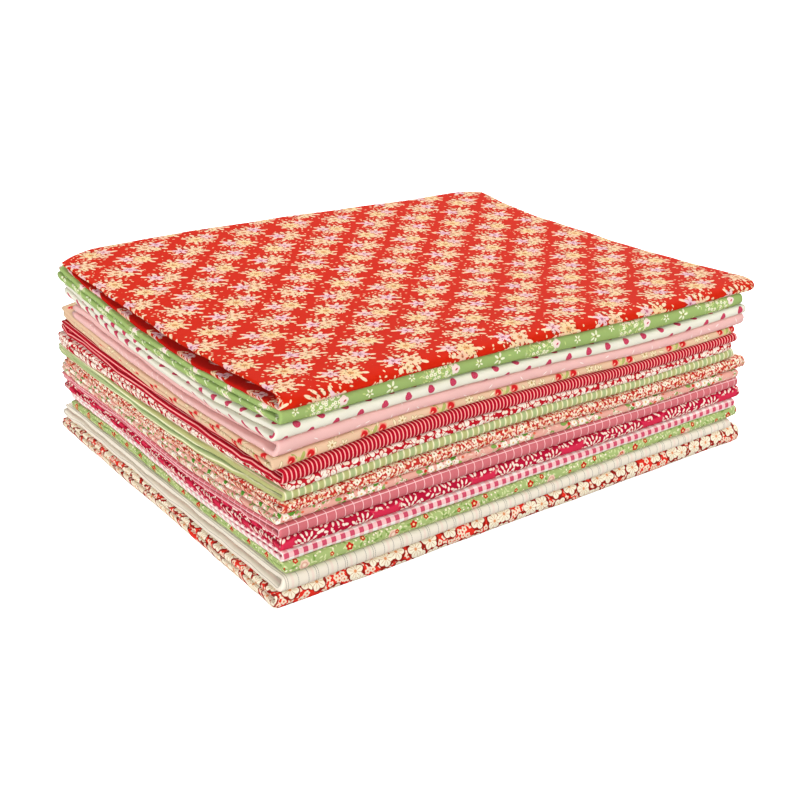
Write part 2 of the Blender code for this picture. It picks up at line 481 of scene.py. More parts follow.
def strewn(place, pitch, spread=0.8, seed=0.0):
    """Things strewn about a pitch apart: the place seen from the nearest, each turned by chance,
    and each one's own chance from 0 to 1."""
    spots = node(place, "ShaderNodeTexVoronoi", voronoi_dimensions="2D")
    shifted = seen_from(place, (seed, 0.37 * seed))
    feed(spots.inputs["Vector"], shifted)
    spots.inputs["Scale"].default_value = 1.0 / pitch
    spots.inputs["Randomness"].default_value = spread
    away = node(place, "ShaderNodeVectorMath", operation="SUBTRACT")
    feed(away.inputs[0], shifted)
    feed(away.inputs[1], Ink(spots.outputs["Position"]))
    chances = node(place, "ShaderNodeSeparateColor")
    feed(chances.inputs[0], Ink(spots.outputs["Color"]))
    turned = node(place, "ShaderNodeVectorRotate", rotation_type="Z_AXIS")
    feed(turned.inputs["Vector"], Ink(away.outputs[0]))
    feed(turned.inputs["Angle"], Ink(chances.outputs[0]) * (2.0 * pi))
    return Ink(turned.outputs[0]), Ink(chances.outputs[1])


def line(number, pitch, width):
    """Mask of lines a pitch apart."""
    return inside(reckon("PINGPONG", number, 0.5 * pitch), 0.5 * width)


def blotch(place, size):
    """A slow unevenness of the dye from 0 to 1, over a length of about size."""
    made = node(place, "ShaderNodeTexNoise")
    feed(made.inputs["Vector"], place)
    made.inputs["Scale"].default_value = 1.0 / size
    made.inputs["Detail"].default_value = 2.0
    return Ink(made.outputs[0])


def cotton(printed):
    """Matt woven cotton, called after its print, which gives the colour of a place on the flat."""
    material = bpy.data.materials.new(printed.__name__)
    material.use_nodes = True
    shader = material.node_tree.nodes["Principled BSDF"]
    flat_map = material.node_tree.nodes.new("ShaderNodeUVMap")
    flat_map.uv_map = "flat_cloth"
    place = seen_from(Ink(flat_map.outputs[0]), MIDDLE, size=(METRES, METRES))

    x, y = coordinates(place)
    yarns = reckon("SINE", x * (pi / YARN)) * reckon("SINE", y * (pi / YARN))
    colour = printed(place)
    # The colour is scaled by the dye's random tone and by painted shade of the weave, lighter where the
    # yarns stand high and darker between them.
    dye_tone_and_weave_shade = yarns * WEAVE_PAINTED_SHADE + blotch(place, DYE_LENGTH) * DYE_TONE + (1.0 - DYE_TONE)
    dyed_and_weave_shaded = node(colour, "ShaderNodeVectorMath", operation="SCALE")
    feed(dyed_and_weave_shaded.inputs[0], colour)
    feed(dyed_and_weave_shaded.inputs["Scale"], dye_tone_and_weave_shade)
    feed(shader.inputs["Base Color"], Ink(dyed_and_weave_shaded.outputs[0]))
    shader.inputs["Roughness"].default_value = 0.92
    shader.inputs["Specular IOR Level"].default_value = 0.06
    shader.inputs["Sheen Weight"].default_value = 0.01
    shader.inputs["Sheen Roughness"].default_value = 0.45
    weave = node(colour, "ShaderNodeBump")
    weave.inputs["Strength"].default_value = 0.35
    weave.inputs["Distance"].default_value = 0.00006
    feed(weave.inputs["Height"], yarns)
    feed(shader.inputs["Normal"], Ink(weave.outputs[0]))
    return material


CREAM_WHITE = (248, 238, 212)
BLOOM_RED = (228, 54, 42)


def red_bloom_print(place):
    """Round blossoms strewn a little unevenly, most of them large, over small ones that touch."""
    bud, _ = strewn(place, 3.0, 0.8, 5.0)
    small, far = bloom(bud, MIDDLE, 1.5, 5, notch=0.3)
    colour = dyed(BLOOM_RED, small, (246, 224, 198))
    colour = dyed(colour, inside(far, 0.32, 0.2), (222, 112, 76))
    flower, chance = strewn(place, 8.4, 0.6, 3.0)
    large = some(chance, 0.84)
    blossom, far = bloom(flower, MIDDLE, 4.1, 5, notch=0.32)
    colour = dyed(colour, inside(distance(flower), 4.4) * large, BLOOM_RED)
    colour = dyed(colour, inside(far, 1.12, 0.06) * large, (150, 34, 28))
    colour = dyed(colour, blossom * large, CREAM_WHITE)
    rib, _ = ring(flower, MIDDLE, 2.1, 10, (1.3, 0.13))
    colour = dyed(colour, rib * large, (206, 160, 122))
    return dyed(colour, inside(far, 0.18, 0.1) * large, (226, 148, 96))


RED_BLOOM = Cut(1, (7.2, 8.2, 9.0, 9.6, 10.4), (6.0, 6.2, 4.4), (-3.0, -2.0),
                (-3.4, -2.8), (3.4, 4.0), (5.0, 3.0), (-0.8, -0.8), eye=0.38)
red_bloom = folded_sheet("red_bloom_fabric", RED_BLOOM, None, cotton(red_bloom_print))
settle(red_bloom, "red_bloom_cloth")

# Cream pinstripe cloth: a half yard folded as the first. Cream, with thin grey-brown stripes
# across the broad fold, every third one doubled, and a faint blush beside some of them.
PINSTRIPE = 4.93


def cream_pinstripe_print(place):
    """Thin lines a pitch apart, broken up like a stitched line, with a second one at every third."""
    x, y = coordinates(place)
    broken = line(y, 0.9, 0.62) * 0.35 + 0.3
    lines = most(line(x - 2.4, PINSTRIPE, 0.3), line(x - 1.4, 3.0 * PINSTRIPE, 0.3))
    blush = inside(reckon("PINGPONG", x - 4.6, PINSTRIPE), 0.6, 0.7) * 0.35
    colour = dyed((238, 228, 210), blush, (240, 200, 190))
    return dyed(colour, lines * broken, (118, 104, 90))


CREAM_PINSTRIPE = Cut(2, (15.0, 14.7, 15.0, 15.4, 15.4), (13.0, 12.7, 11.6), (0.9, 0.6),
                      (-3.2, -2.2), (10.3, 7.0), (4.0, 2.0), (-2.2, -1.1), eye=0.36)
cream_pinstripe = folded_sheet("cream_pinstripe_fabric", CREAM_PINSTRIPE, RED_BLOOM,
                               cotton(cream_pinstripe_print))
settle(cream_pinstripe, "cream_pinstripe_cloth")

# Green bloom cloth: a half yard folded as the first. Soft green, crowded with light and dark
# leaves and cream specks, with small red flowers and pale pink roses far apart.
GREEN_BLOOM_LEAVES = (
    # pitch, seed, half length and half width, share that is kept, colour
    (3.6, 27.0, (1.6, 0.55), 0.55, (128, 160, 80)),
    (2.2, 11.0, (1.0, 0.38), 0.85, (210, 220, 160)),
    (2.8, 41.0, (0.5, 0.42), 0.45, (248, 238, 212)),
)
GREEN_BLOOM_REDS = (
    # centre, radius, turn
    ((0.0, 0.0), 1.9, 12.0),
    ((7.2, 1.6), 1.3, 40.0),
    ((-9.0, -0.6), 1.1, 70.0),
)


def green_bloom_print(place):
    """Three strewings of leaves and specks, under roses and red flowers in two half-drops."""
    colour = (168, 188, 118)
    for pitch, seed, size, kept, ink in GREEN_BLOOM_LEAVES:
        leaf, chance = strewn(place, pitch, 0.9, seed)
        colour = dyed(colour, oval(leaf, MIDDLE, size) * some(chance, kept), ink)
    seen, _, _ = half_drop(seen_from(place, (10.0, -1.2)), 46.0, 15.0)
    rose, far = bloom(seen, MIDDLE, 2.6, 6, notch=0.15)
    colour = dyed(colour, rose, (240, 204, 180))
    colour = dyed(colour, inside(reckon("ABSOLUTE", far - 0.55), 0.1, 0.12), (224, 166, 146))
    colour = dyed(colour, inside(far, 0.25, 0.1), (252, 232, 206))
    seen, _, _ = half_drop(seen_from(place, (-1.0, 0.4)), 34.0, 15.0)
    for centre, radius, turn in GREEN_BLOOM_REDS:
        flower, far = bloom(seen, centre, radius, 5, turn, 0.3)
        colour = dyed(colour, flower, (200, 44, 34))
        colour = dyed(colour, inside(far, 0.32, 0.15), (246, 214, 150))
    return colour


GREEN_BLOOM = Cut(3, (20.9, 20.7, 20.8, 20.9, 21.2), (17.5, 18.4, 16.4), (0.9, 1.7),
                  (-2.6, -1.1), (5.0, 7.0), (12.0, 5.0), (1.3, 0.3), eye=0.38)
green_bloom = folded_sheet("green_bloom_fabric", GREEN_BLOOM, CREAM_PINSTRIPE,
                           cotton(green_bloom_print))
settle(green_bloom, "green_bloom_cloth")

# Pink gingham cloth: a half yard folded as the first. An even check of white, pink where a
# stripe crosses white, and raspberry where two stripes cross.
CHECK = 4.68


def pink_gingham_print(place):
    """Stripes both ways, half a check wide: one gives pink, two give raspberry."""
    x, y = coordinates(place)
    warp = line(x - 1.2, CHECK, 0.5 * CHECK)
    weft = line(y - 0.7, CHECK, 0.5 * CHECK)
    colour = dyed((250, 244, 236), most(warp, weft), (246, 198, 196))
    return dyed(colour, warp * weft, (208, 82, 106))


PINK_GINGHAM = Cut(4, (25.8, 26.2, 26.0, 25.6, 26.0), (21.6, 22.9, 21.1), (1.6, 2.4),
                   (-1.9, -1.4), (8.2, 6.0), (10.0, 6.0), (-0.7, 0.3), eye=0.4)
pink_gingham = folded_sheet("pink_gingham_fabric", PINK_GINGHAM, GREEN_BLOOM,
                            cotton(pink_gingham_print))
settle(pink_gingham, "pink_gingham_cloth")

# Raspberry spray cloth: a half yard folded as the first. Raspberry, with long stretches of
# strewn cream petals, fans of petals and round buds on a deeper shade, and plain gaps.
SPRAY_FANS = (
    # centre, turn of its first petal
    ((-14.0, -1.6), 0.0),
    ((15.0, -2.2), -20.0),
    ((2.0, 8.0), 160.0),
)
SPRAY_PETALS = (
    # distance from the fan's centre, angle on from its first petal
    (4.4, 0.0), (4.7, 28.0), (4.9, 56.0), (5.0, 84.0), (4.9, 112.0), (4.6, 140.0), (4.3, 168.0),
    (2.3, 20.0), (2.5, 65.0), (2.5, 110.0), (2.3, 150.0),
)
PETAL_CREAM = (250, 228, 212)
DEEP_RASPBERRY = (184, 26, 58)


def raspberry_spray_print(place):
    """Ovals in a half-drop, filled with strewn petals and buds, and fans at their ends."""
    seen, _, _ = half_drop(seen_from(place, (26.0, -1.0)), 54.0, 26.0)
    stretch = oval(seen, MIDDLE, (20.0, 10.5), blur=0.12)
    colour = dyed((216, 50, 80), stretch, DEEP_RASPBERRY)
    petal, _ = strewn(place, 2.6, 0.75, 6.0)
    colour = dyed(colour, oval(petal, MIDDLE, (1.12, 0.6)) * stretch, PETAL_CREAM)
    for centre, turn in SPRAY_FANS:
        fan = seen_from(seen, centre, turn)
        colour = dyed(colour, inside(distance(seen_from(fan, (0.0, 2.2))), 4.6, 0.6), DEEP_RASPBERRY)
        for away, angle in SPRAY_PETALS:
            middle = (away * np.cos(radians(angle)), away * np.sin(radians(angle)))
            colour = dyed(colour, oval(fan, middle, (1.2, 0.52), angle), PETAL_CREAM)
    return colour


RASPBERRY_SPRAY = Cut(5, (32.0, 32.6, 32.8, 32.4, 32.8), (27.0, 26.2, 25.7), (1.4, 1.6),
                      (-1.3, -1.2), (4.9, 8.0), (6.0, 4.0), (-0.2, -0.7), eye=0.37)
raspberry_spray = folded_sheet("raspberry_spray_fabric", RASPBERRY_SPRAY, PINK_GINGHAM,
                               cotton(raspberry_spray_print))
settle(raspberry_spray, "raspberry_spray_cloth")

# Rose line cloth: a half yard folded as the first. Dusty rose, with a fine open grid of pale pink
# lines.
GRID_ACROSS = 4.65
GRID_ALONG = 5.4
GRID_LINE = 0.36


def rose_line_print(place):
    """Fine lines both ways, with two of them along the rim of the broad fold."""
    x, y = coordinates(place)
    grid = most(line(x, GRID_ACROSS, GRID_LINE), line(y - 0.5 * GRID_ALONG, GRID_ALONG, GRID_LINE))
    return dyed((211, 113, 119), grid, (250, 206, 206))


ROSE_LINE = Cut(6, (37.4, 38.9, 39.3, 37.9, 37.8), (30.7, 31.1, 30.1), (0.6, 1.0),
                (-1.0, -0.8), (6.6, 5.0), (2.5, 5.0), (-0.2, 0.9), eye=0.38)
rose_line = folded_sheet("rose_line_fabric", ROSE_LINE, RASPBERRY_SPRAY, cotton(rose_line_print))
settle(rose_line, "rose_line_cloth")

# Pink leaf cloth: a half yard folded as the first. Pale pink, with loose sprays of white
# blossoms, fresh green leaves and red buds, and plain pink with faint sprigs between them.
LEAF_SPRAY = (
    # centre, half length and half width, turn, colour
    ((-11.6, 0.6), (1.7, 0.9), 170.0, (132, 168, 84)),
    ((-9.0, -2.2), (1.5, 0.8), 215.0, (96, 150, 62)),
    ((-6.4, 2.6), (1.6, 0.9), 120.0, (104, 156, 60)),
    ((-2.6, -2.8), (1.7, 0.8), 235.0, (150, 178, 96)),
    ((2.4, 3.0), (1.7, 0.9), 60.0, (84, 142, 52)),
    ((3.4, -2.8), (1.5, 0.8), -50.0, (128, 170, 72)),
    ((8.0, 1.8), (1.8, 0.9), 25.0, (96, 150, 56)),
    ((10.6, -1.4), (1.6, 0.8), -20.0, (140, 176, 84)),
    ((0.0, 2.6), (1.0, 0.8), 90.0, (208, 56, 44)),
    ((-8.4, 0.0), (0.9, 0.8), 0.0, (208, 56, 44)),
    ((6.2, -2.4), (1.0, 0.8), 0.0, (222, 92, 66)),
    ((12.6, 0.6), (0.8, 0.6), 0.0, (226, 108, 84)),
)
LEAF_BLOSSOMS = (
    # centre and radius
    ((-5.2, -0.2), 1.8), ((-0.2, -0.6), 2.3), ((4.6, 0.6), 1.7), ((9.0, -0.8), 1.3),
)


def pink_leaf_print(place):
    """A spray of leaves, buds and four blossoms in a half-drop, on faint strewn sprigs.

    Small leaves and blossoms are strewn in a patch round each spray.
    """
    sprig, chance = strewn(place, 3.4, 0.9, 3.0)
    faint = oval(sprig, MIDDLE, (1.3, 0.3)) * some(chance, 0.4)
    colour = dyed((232, 170, 154), faint * 0.7, (248, 216, 196))
    seen, _, _ = half_drop(seen_from(place, (-1.0, 0.8)), 42.0, 15.0)
    patch = oval(seen, MIDDLE, (12.0, 8.5), blur=0.3)
    leaf, chance = strewn(place, 2.4, 0.9, 43.0)
    small_leaf = oval(leaf, MIDDLE, (1.15, 0.6)) * patch * some(chance, 0.6)
    colour = dyed(colour, small_leaf, (128, 164, 84))
    spot, chance = strewn(place, 2.7, 0.85, 67.0)
    flower, far = bloom(spot, MIDDLE, 1.15, 5, notch=0.35)
    colour = dyed(colour, flower * patch * some(chance, 0.7), (244, 230, 208))
    colour = dyed(colour, inside(far, 0.3, 0.2) * patch, (206, 84, 70))
    for centre, size, turn, ink in LEAF_SPRAY:
        colour = dyed(colour, oval(seen, centre, size, turn), ink)
    for centre, radius in LEAF_BLOSSOMS:
        blossom, far = bloom(seen, centre, radius, 5, 30.0 * radius, 0.32)
        colour = dyed(colour, blossom, (248, 240, 224))
        colour = dyed(colour, inside(far, 0.25, 0.1), (232, 196, 118))
    return colour


PINK_LEAF = Cut(7, (41.9, 42.9, 43.5, 41.9, 42.0), (36.7, 34.8, 35.4), (2.0, 1.3),
                (1.1, -0.8), (7.4, 9.0), (2.0, 3.0), (-1.2, -0.6), eye=0.42)
pink_leaf = folded_sheet("pink_leaf_fabric", PINK_LEAF, ROSE_LINE, cotton(pink_leaf_print))
settle(pink_leaf, "pink_leaf_cloth")

# Red ditsy cloth: a half yard folded as the first. Soft red, crowded with tiny cream and peach
# petals and a few grey-green dots.
DITSY_PETALS = (
    # pitch, seed, half length and half width, colour
    (1.9, 2.0, (0.72, 0.46), (232, 176, 134)),
    (1.7, 53.0, (0.62, 0.40), (240, 196, 176)),
    (1.8, 17.0, (0.78, 0.44), (250, 232, 206)),
)


def red_ditsy_print(place):
    """Three strewings of tiny petals over one another, and now and then a small blossom or a dot."""
    colour = (196, 58, 50)
    for pitch, seed, size, ink in DITSY_PETALS:
        petal, chance = strewn(place, pitch, 0.95, seed)
        colour = dyed(colour, oval(petal, MIDDLE, size) * some(chance, 0.82), ink)
    spot, chance = strewn(place, 5.2, 0.9, 31.0)
    blossom, _ = bloom(spot, MIDDLE, 1.4, 5, notch=0.3)
    colour = dyed(colour, blossom * some(chance, 0.5), (250, 236, 214))
    return dyed(colour, inside(distance(spot), 0.4), (158, 128, 82))


RED_DITSY = Cut(8, (47.4, 49.5, 49.9, 48.5, 48.9), (40.0, 39.4, 40.3), (3.3, 2.2),
                (-0.4, -0.5), (2.6, 5.0), (8.0, 4.0), (-0.6, -0.9), eye=0.38)
red_ditsy = folded_sheet("red_ditsy_fabric", RED_DITSY, PINK_LEAF, cotton(red_ditsy_print))
settle(red_ditsy, "red_ditsy_cloth")

# Green stripe cloth: a half yard folded as the first. Sage green in two close shades, parted by
# thin cream stripes with soft edges that cross the broad fold.
GREEN_STRIPE = 3.15


def green_stripe_print(place):
    """Cream lines a pitch apart, with every second bay a little yellower."""
    x, _ = coordinates(place)
    second_bay = line(x - 0.5 * GREEN_STRIPE, 2.0 * GREEN_STRIPE, GREEN_STRIPE)
    colour = dyed((172, 186, 130), second_bay, (184, 186, 122))
    soft = inside(reckon("PINGPONG", x, 0.5 * GREEN_STRIPE), 0.6, 0.9) * 0.5
    return dyed(dyed(colour, soft, (222, 220, 172)), line(x, GREEN_STRIPE, 0.56), (242, 238, 198))


GREEN_STRIPE_CUT = Cut(9, (51.4, 54.7, 55.1, 53.0, 54.1), (46.9, 44.7, 45.3), (4.2, 0.9),
                       (1.2, 1.4), (10.0, 8.0), (0.0, 6.0), (-0.5, 0.4), eye=0.4)
green_stripe = folded_sheet("green_stripe_fabric", GREEN_STRIPE_CUT, RED_DITSY,
                            cotton(green_stripe_print))
settle(green_stripe, "green_stripe_cloth")

# Red petal cloth: a half yard folded as the first. Deep red, crowded with rounded cream petals
# that nearly touch, in two sizes.
PETAL_RED = (188, 30, 44)


def red_petal_print(place):
    """Two strewings of rounded petals, the larger over the smaller, each with a faint rib."""
    petal, _ = strewn(place, 2.5, 0.85, 7.0)
    colour = dyed(PETAL_RED, oval(petal, MIDDLE, (1.05, 0.75)), (246, 224, 202))
    petal, chance = strewn(place, 3.9, 0.7, 23.0)
    kept = some(chance, 0.85)
    colour = dyed(colour, oval(petal, MIDDLE, (2.1, 1.6)) * kept, PETAL_RED)
    colour = dyed(colour, oval(petal, MIDDLE, (1.8, 1.25)) * kept, (250, 238, 222))
    return dyed(colour, oval(petal, (0.9, 0.0), (0.9, 0.14)) * kept, (224, 160, 146))


RED_PETAL = Cut(10, (55.4, 59.3, 59.3, 57.2, 58.2), (50.3, 51.1, 51.8), (5.8, 0.8),
                (0.0, 0.5), (13.4, 9.0), (0.0, 3.0), (0.6, -0.2), eye=0.42)
red_petal = folded_sheet("red_petal_fabric", RED_PETAL, GREEN_STRIPE_CUT, cotton(red_petal_print))
settle(red_petal, "red_petal_cloth")

# Red stripe cloth: a half yard folded as the first. Red, with fine pink stripes that cross the
# broad fold and run along the folds at the left end.
RED_STRIPE_PITCH = 1.99


def red_stripe_print(place):
    """Pink lines a pitch apart, a little deeper at their edges."""
    x, _ = coordinates(place)
    colour = dyed((180, 22, 42), line(x, RED_STRIPE_PITCH, 0.74), (220, 84, 92))
    return dyed(colour, line(x, RED_STRIPE_PITCH, 0.46), (252, 176, 168))


RED_STRIPE = Cut(11, (61.8, 66.3, 65.4, 62.6, 63.2), (58.1, 56.1, 57.4), (4.3, 3.3),
                 (-0.4, -0.5), (10.9, 12.0), (1.0, 4.0), (-1.6, -0.2), eye=0.38)
red_stripe = folded_sheet("red_stripe_fabric", RED_STRIPE, RED_PETAL, cotton(red_stripe_print))
settle(red_stripe, "red_stripe_cloth")

# Tan flower cloth: a half yard folded as the first. Pale tan, with cream leaves and open flowers
# drawn in olive, and sprays of green leaves and soft red flowers.
TAN_SPRAY = (
    # centre, half length and half width, turn, colour
    ((0.6, 0.4), (2.4, 0.9), 60.0, (176, 180, 100)),
    ((-1.2, -0.8), (2.0, 0.8), 100.0, (214, 206, 132)),
    ((-3.2, 1.8), (1.6, 0.6), 130.0, (164, 172, 92)),
    ((3.0, -1.8), (1.6, 0.6), -40.0, (176, 180, 100)),
)
TAN_REDS = (
    # centre and radius
    ((-4.8, 0.4), 2.3), ((4.6, 0.4), 2.5),
)
TAN_OPEN_FLOWERS = (
    # centre, petals, turn
    ((-3.2, 0.8), 7, 15.0), ((2.8, -0.8), 6, 50.0),
)


def tan_flower_print(place):
    """Strewn cream leaves with olive rims, open flowers and red sprays in half-drops by turns."""
    leaf, chance = strewn(place, 4.2, 0.85, 33.0)
    kept = some(chance, 0.5)
    colour = dyed((229, 192, 158), oval(leaf, MIDDLE, (1.9, 0.75)) * kept, (186, 158, 110))
    colour = dyed(colour, oval(leaf, MIDDLE, (1.7, 0.52)) * kept, (244, 224, 186))
    seen, _, _ = half_drop(seen_from(place, (30.0, 0.4)), 36.0, 20.0)
    for centre, count, turn in TAN_OPEN_FLOWERS:
        rim, _ = ring(seen, centre, 1.4, count, (1.1, 0.66), turn)
        colour = dyed(colour, rim, (184, 158, 108))
        petals, away = ring(seen, centre, 1.4, count, (0.92, 0.48), turn)
        colour = dyed(colour, petals, (244, 226, 188))
        colour = dyed(colour, inside(away, 0.55), (186, 150, 90))
    seen, _, _ = half_drop(seen_from(place, (12.0, 0.4)), 36.0, 20.0)
    for centre, size, turn, ink in TAN_SPRAY:
        colour = dyed(colour, oval(seen, centre, size, turn), ink)
    for centre, radius in TAN_REDS:
        flower, far = bloom(seen, centre, radius, 5, 40.0, 0.22)
        colour = dyed(colour, flower, (240, 150, 130))
        colour = dyed(colour, inside(far, 0.72, 0.3), (210, 40, 42))
        glint = oval(seen, (centre[0] - 0.6, centre[1] - 0.5), (0.7, 0.4), 40.0)
        colour = dyed(colour, glint, (246, 176, 150))
    return colour


TAN_FLOWER = Cut(12, (67.4, 70.6, 69.4, 66.6, 67.2), (63.0, 61.9, 65.1), (0.2, 4.5),
                 (2.7, 0.6), (12.0, 10.0), (0.0, 5.0), (-0.2, 1.2), eye=0.4)
tan_flower = folded_sheet("tan_flower_fabric", TAN_FLOWER, RED_STRIPE, cotton(tan_flower_print))
settle(tan_flower, "tan_flower_cloth")

# Pink dash cloth: a half yard folded as the first. Pink, with thin white dashes far apart.


def pink_dash_print(place):
    """White dashes strewn evenly, each turned by chance."""
    dash, _ = strewn(place, 6.4, 0.6, 9.0)
    return dyed((236, 186, 180), oval(dash, MIDDLE, (1.2, 0.2)), (253, 240, 234))


PINK_DASH = Cut(13, (74.4, 76.2, 74.8, 71.6, 72.8), (69.0, 69.4, 73.2), (3.5, 5.0),
                (2.6, -0.2), (7.1, 9.0), (18.0, 9.0), (-2.3, -0.6), eye=0.38)
pink_dash = folded_sheet("pink_dash_fabric", PINK_DASH, TAN_FLOWER, cotton(pink_dash_print))
settle(pink_dash, "pink_dash_cloth")

# White drop cloth: a half yard folded as the first. Warm white, with raspberry drops in rows
# that run a little askew to the broad fold.
DROP_PITCH = 12.1
DROP_TILT = 2.9


def white_drop_print(place):
    """Round drops with a blunt point in a square half-drop, with darker specks inside."""
    seen, _, _ = half_drop(seen_from(place, (3.0, -2.4), DROP_TILT), DROP_PITCH, DROP_PITCH)
    drop = most(oval(seen, (0.0, -0.2), (1.75, 1.75)), oval(seen, (0.3, 1.1), (1.1, 0.95)))
    colour = dyed((235, 231, 213), drop, (204, 72, 98))
    speck, _ = strewn(seen, 0.9, 0.6, 4.0)
    return dyed(colour, drop * inside(distance(speck), 0.2), (166, 40, 72))


WHITE_DROP = Cut(14, (81.0, 81.6, 80.0, 76.9, 77.6), (74.2, 75.6, 80.3), (2.7, 5.8),
                 (2.5, -0.4), (6.6, 6.0), (6.0, 4.0), (-2.0, -0.2), eye=0.4)
white_drop = folded_sheet("white_drop_fabric", WHITE_DROP, PINK_DASH, cotton(white_drop_print))
settle(white_drop, "white_drop_cloth")

# Green sprig cloth: a half yard folded as the first. Leaf green, with single starry flowers and,
# farther apart, patches of tiny cream blossoms and light leaves round a pale rose.
SPRIG_ACROSS = 58.0
SPRIG_ALONG = 30.0
STARRY_FLOWERS = (
    # centre and radius
    ((0.0, 0.0), 1.9),
    ((10.6, 2.0), 1.1),
    ((-11.4, 0.4), 1.3),
)


def green_sprig_print(place):
    """Starry flowers in one half-drop and patches half way between, with strewn light sprigs."""
    sprig, chance = strewn(place, 4.6, 0.9, 13.0)
    rare = some(chance, 0.4)
    colour = dyed((156, 182, 108), oval(sprig, MIDDLE, (0.9, 0.26)) * rare, (204, 220, 138))
    seen, _, _ = half_drop(seen_from(place, (55.0, 0.6)), SPRIG_ACROSS, SPRIG_ALONG)
    for centre, radius in STARRY_FLOWERS:
        petals, away = ring(seen, centre, radius, 5, (0.62 * radius, 0.3 * radius), 36.0 * radius)
        colour = dyed(colour, petals, (240, 242, 208))
        colour = dyed(colour, inside(away, 0.36 * radius), (156, 160, 84))
    seen, _, _ = half_drop(seen_from(place, (84.0, 0.8)), SPRIG_ACROSS, SPRIG_ALONG)
    patch = oval(seen, (-4.0, 0.0), (9.5, 6.4), 8.0, 0.25)
    leaf, _ = strewn(place, 1.9, 0.9, 37.0)
    colour = dyed(colour, oval(leaf, MIDDLE, (0.9, 0.34)) * patch, (208, 222, 146))
    spot, chance = strewn(place, 2.2, 0.75, 61.0)
    flower, far = bloom(spot, MIDDLE, 0.95, 5, notch=0.35)
    colour = dyed(colour, flower * patch * some(chance, 0.75), (244, 242, 212))
    colour = dyed(colour, inside(far, 0.28, 0.2) * patch, (184, 180, 100))
    rose, _ = bloom(seen, (4.6, 0.4), 2.3, 5, 10.0, 0.2)
    colour = dyed(colour, rose, (248, 224, 216))
    return dyed(colour, oval(seen, (5.0, 0.2), (0.8, 0.4), 30.0), (200, 66, 84))


GREEN_SPRIG = Cut(15, (88.0, 89.0, 87.6, 84.8, 83.4), (81.4, 81.4, 88.0), (4.6, 4.5),
                  (2.5, 1.0), (8.2, 5.0), (1.0, 3.0), (0.1, -0.5), eye=0.36)
green_sprig = folded_sheet("green_sprig_fabric", GREEN_SPRIG, WHITE_DROP, cotton(green_sprig_print))
settle(green_sprig, "green_sprig_cloth")

# Red posy cloth, the top cut, whose whole upper side shows. Bright red, with two posies and their
# mirror images by turns in a half-drop, and petals strewn everywhere but in plain diagonals.
POSY_ACROSS = 29.0
POSY_ALONG = 32.0
POSY_CENTRE = (136.0, 116.7)
POSY_SKEW = 0.045
POSY_PIVOT = 105.0
POSY_BOW = 5.5
POSY_BOW_LENGTH = 30.0
UNDERSIDE_FROM = -10.0
UNDERSIDE_SHIFT = 4.0
# Width of the plain band along the lower left fold, which carries painted shade.
PLAIN_SHADED_WIDTH = 6.0
POSY_RED = (206, 40, 18)
POSY_CREAM = (240, 214, 178)
GOLD_POSY_HEADS = (
    # centre, petals, distance of their middles, half length and half width, colours of petal, heart
    ((-2.8, -1.0), 9, 3.2, (2.0, 1.02), (240, 206, 156), (226, 166, 102)),
    ((4.8, 1.6), 6, 2.3, (1.7, 1.0), (236, 196, 192), (206, 122, 150)),
    ((1.8, -5.0), 6, 1.8, (1.4, 0.84), (240, 196, 164), (214, 114, 80)),
)
GOLD_POSY_LEAVES = (
    # centre, half length and half width, turn
    ((9.4, 0.8), (2.6, 0.9), 8.0), ((7.0, 5.0), (1.6, 0.9), 45.0), ((-1.6, 6.2), (1.8, 0.95), 100.0),
    ((2.4, 5.6), (1.6, 0.9), 70.0), ((-7.6, 3.4), (1.7, 0.95), 150.0), ((-8.4, -2.8), (1.6, 0.9), 200.0),
    ((-5.4, -6.6), (1.6, 0.9), 235.0), ((6.0, -4.0), (1.7, 0.95), -40.0), ((-4.8, 5.0), (1.3, 0.8), 125.0),
)
PINK_POSY_HEADS = (
    ((3.2, -0.8), 8, 2.8, (1.8, 1.04), (240, 202, 164), (218, 138, 92)),
    ((-4.4, 1.4), 5, 2.4, (1.9, 1.14), (236, 194, 198), (200, 118, 158)),
    ((-1.2, -5.0), 6, 1.7, (1.3, 0.82), (240, 212, 168), (220, 158, 94)),
)
PINK_POSY_LEAVES = (
    ((-9.0, 4.0), (2.2, 0.9), 150.0), ((-8.4, -1.8), (1.6, 0.9), 195.0), ((0.4, 5.2), (1.8, 0.95), 85.0),
    ((4.4, 5.2), (1.7, 0.95), 55.0), ((8.0, 2.8), (1.7, 0.9), 20.0), ((8.0, -3.8), (1.8, 0.95), -25.0),
    ((3.6, -6.4), (1.6, 0.9), -65.0), ((-5.4, -6.2), (1.7, 0.95), 230.0), ((-3.0, 6.0), (1.4, 0.8), 110.0),
)


def posy(seen, colour, heads, leaves):
    """Leaves round three flower heads of separate petals, which touch one another."""
    for centre, size, turn in leaves:
        colour = dyed(colour, oval(seen, centre, size, turn), POSY_CREAM)
    for centre, count, reach, size, petal, heart in heads:
        petals, away = ring(seen, centre, reach, count, size)
        colour = dyed(colour, petals, petal)
        colour = dyed(colour, inside(away, 0.42 * reach, 0.4 * reach) * 0.8, heart)
        colour = dyed(colour, inside(away, 0.3), (132, 90, 56))
    return colour


